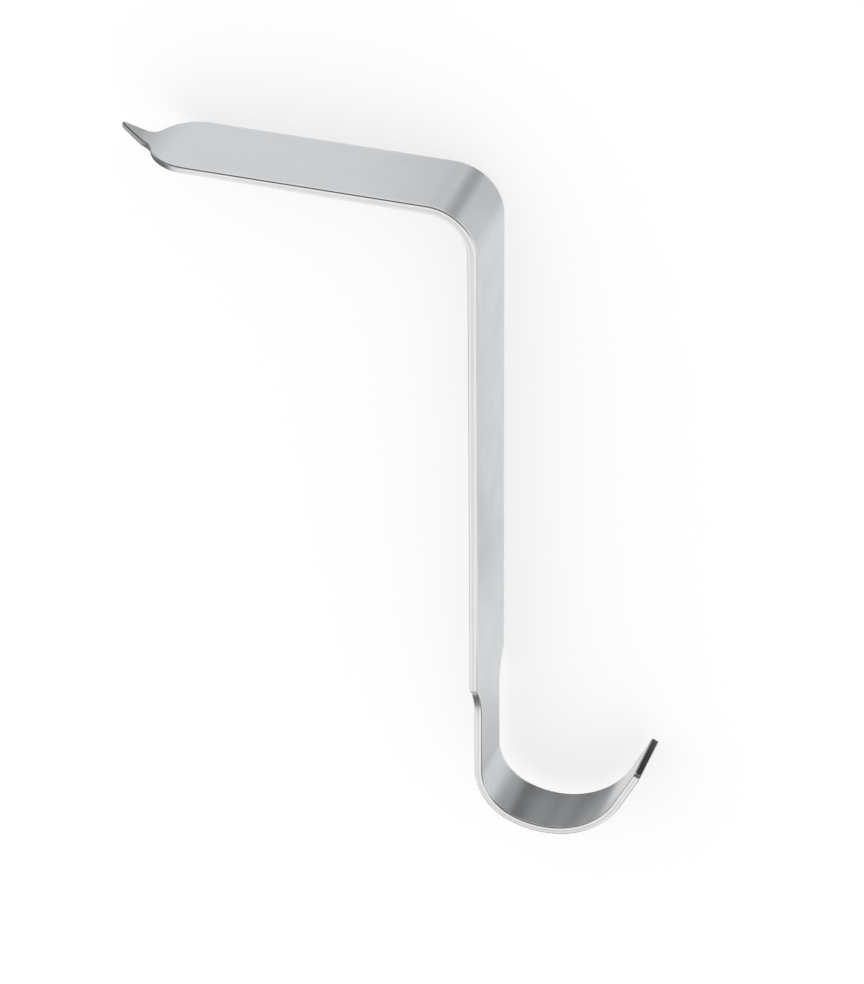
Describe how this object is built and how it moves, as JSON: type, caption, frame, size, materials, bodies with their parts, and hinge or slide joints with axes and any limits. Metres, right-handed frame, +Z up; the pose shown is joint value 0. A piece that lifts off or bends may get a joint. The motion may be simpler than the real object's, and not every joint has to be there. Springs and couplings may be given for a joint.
{
  "type": "handheld surgical retractor",
  "caption": "One-piece steel strip retractor: flat blade with an upturned bill, a right-angle bend, a long shank with shoulders and a flared open hook.",
  "frame": {"origin": "middle of the box round the part, on the surface that it lies on", "axes": "+X from the bill towards the hook, +Y up the shank towards the blade, +Z up from the table across the strip's width"},
  "size_m": [0.1418, 0.1922, 0.024],
  "materials": {
    "steel": "satin stainless steel, finely brushed along the strip, its eased edges brighter"
  },
  "bodies": {
    "root": {"retractor": "steel"}
  },
  "joints": []
}
